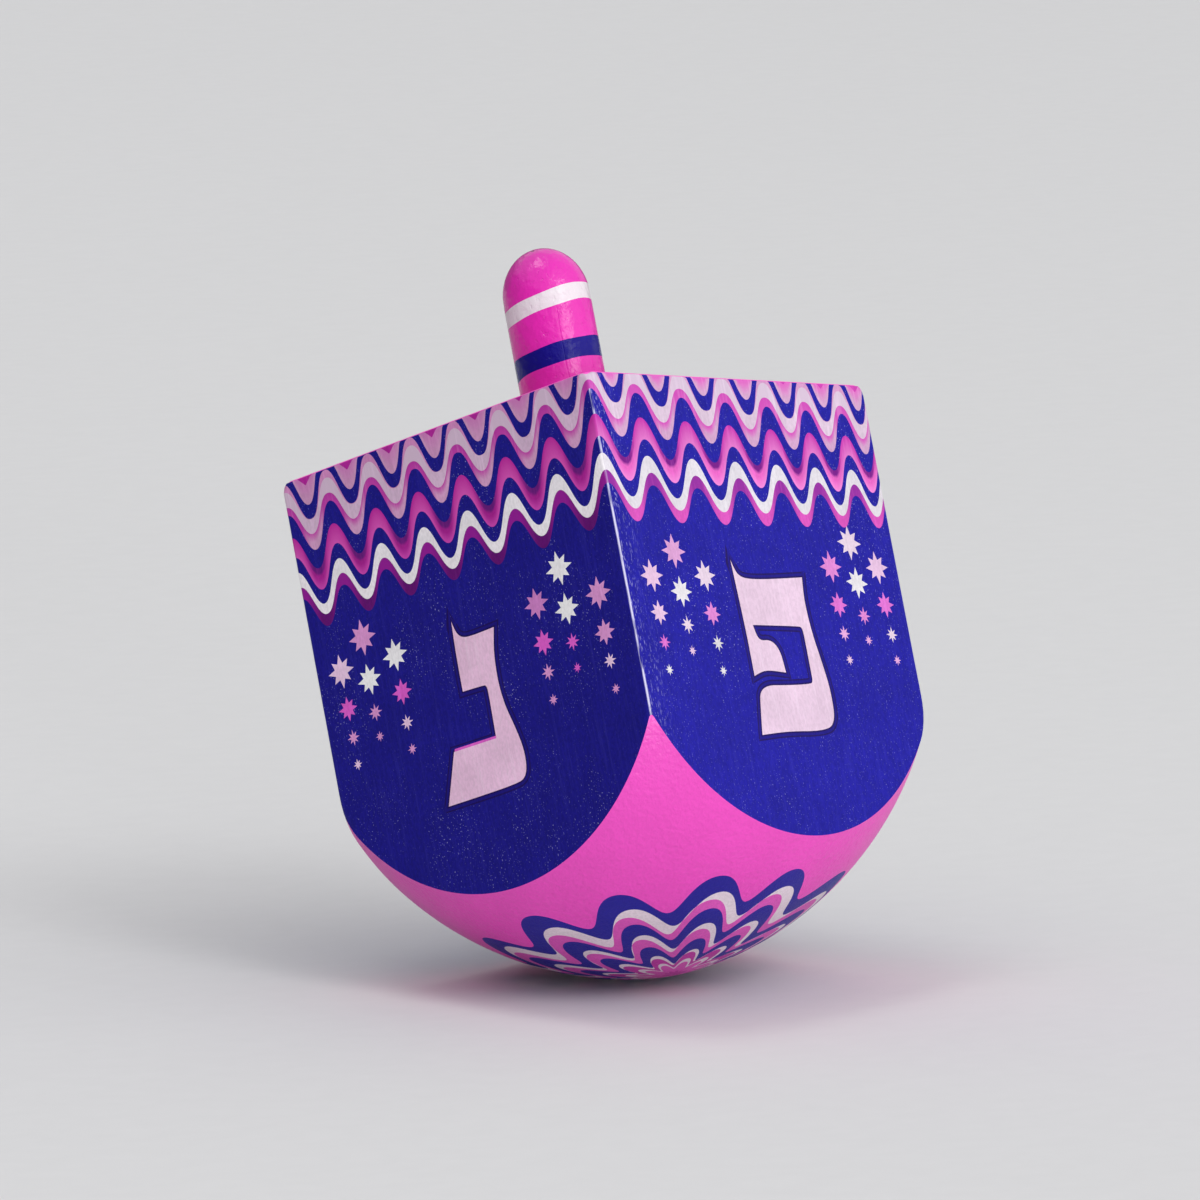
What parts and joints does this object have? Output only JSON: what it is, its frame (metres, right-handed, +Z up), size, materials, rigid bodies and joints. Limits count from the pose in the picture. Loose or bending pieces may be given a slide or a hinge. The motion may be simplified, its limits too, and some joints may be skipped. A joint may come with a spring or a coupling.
{
  "type": "dreidel",
  "caption": "Square wooden spinning top with a domed underside and a round finger stem, painted with wavy stripes, stars and a letter on each face.",
  "frame": {"origin": "on the table under the middle of the dreidel's length, as it lies on its he face after a spin", "axes": "+X along the spin axis from the dome's tip to the stem, +Z up out of the nun face, -Y out of the pe face"},
  "size_m": [0.0874, 0.049, 0.049],
  "materials": {
    "painted_block": "satin paint on wood: navy faces, pink dome and top",
    "painted_stem": "glossy pink paint on wood with a white and a navy ring"
  },
  "bodies": {
    "root": {"body": "painted_block", "stem": "painted_stem"}
  },
  "joints": []
}
